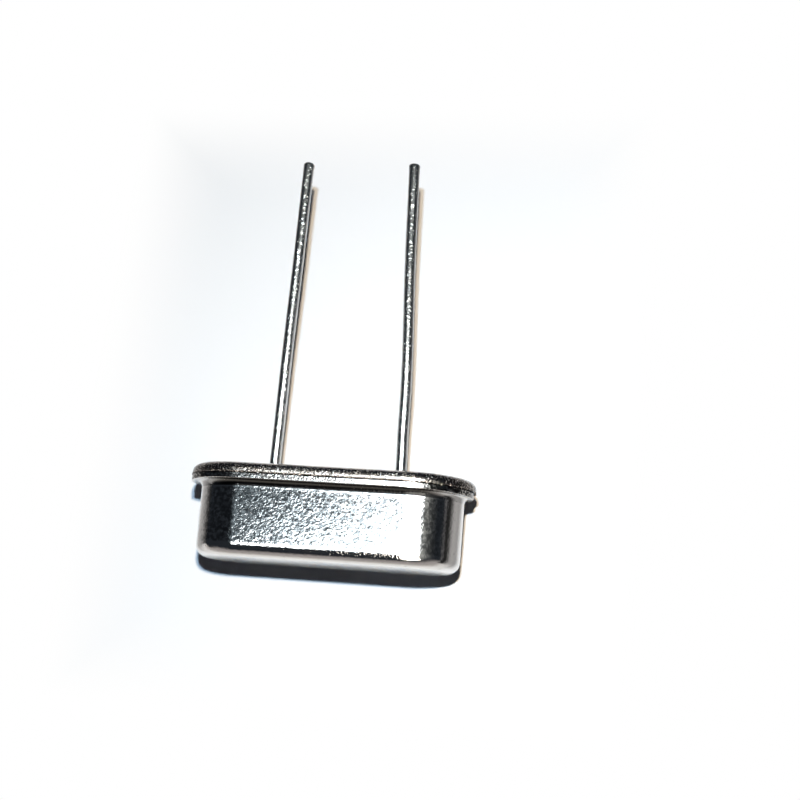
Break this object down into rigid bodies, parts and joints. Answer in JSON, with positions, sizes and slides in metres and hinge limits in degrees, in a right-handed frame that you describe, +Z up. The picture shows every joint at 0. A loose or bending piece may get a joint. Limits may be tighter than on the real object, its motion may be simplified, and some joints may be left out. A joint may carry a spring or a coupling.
{
  "type": "crystal oscillator",
  "caption": "Low-profile quartz crystal for a circuit board: a welded metal can with round ends on a base plate, with glass-sealed wire leads, lying on its long side.",
  "frame": {"origin": "on the surface that it lies on, under the middle of the box round the whole part", "axes": "+X along the can's length, from the left lead to the right one; +Y away from the can along the leads, which rise by 9.6 degrees; +Z up from the surface"},
  "size_m": [0.011, 0.016, 0.0047],
  "materials": {
    "can_nickel": "bright nickel plating with a fine orange-peel texture",
    "base_nickel": "satin, warm grey nickel plating with a fine grain",
    "seal_glass": "dark maroon sealing glass, opaque and glossy",
    "lead_tin": "dull tinned wire with fine drawing marks",
    "spring_metal": "plain sheet metal",
    "quartz": "clear, finely lapped",
    "silver_film": "evaporated silver film",
    "adhesive": "silver-filled adhesive, matt"
  },
  "bodies": {
    "root": {"can": "can_nickel", "base_plate": "base_nickel", "glass_seal_left": "seal_glass", "glass_seal_right": "seal_glass", "lead_left": "lead_tin", "lead_right": "lead_tin", "spring_left": "spring_metal", "spring_right": "spring_metal", "quartz_blank": "quartz", "electrode_can_side": "silver_film", "electrode_base_side": "silver_film", "adhesive_left": "adhesive", "adhesive_right": "adhesive"}
  },
  "joints": []
}
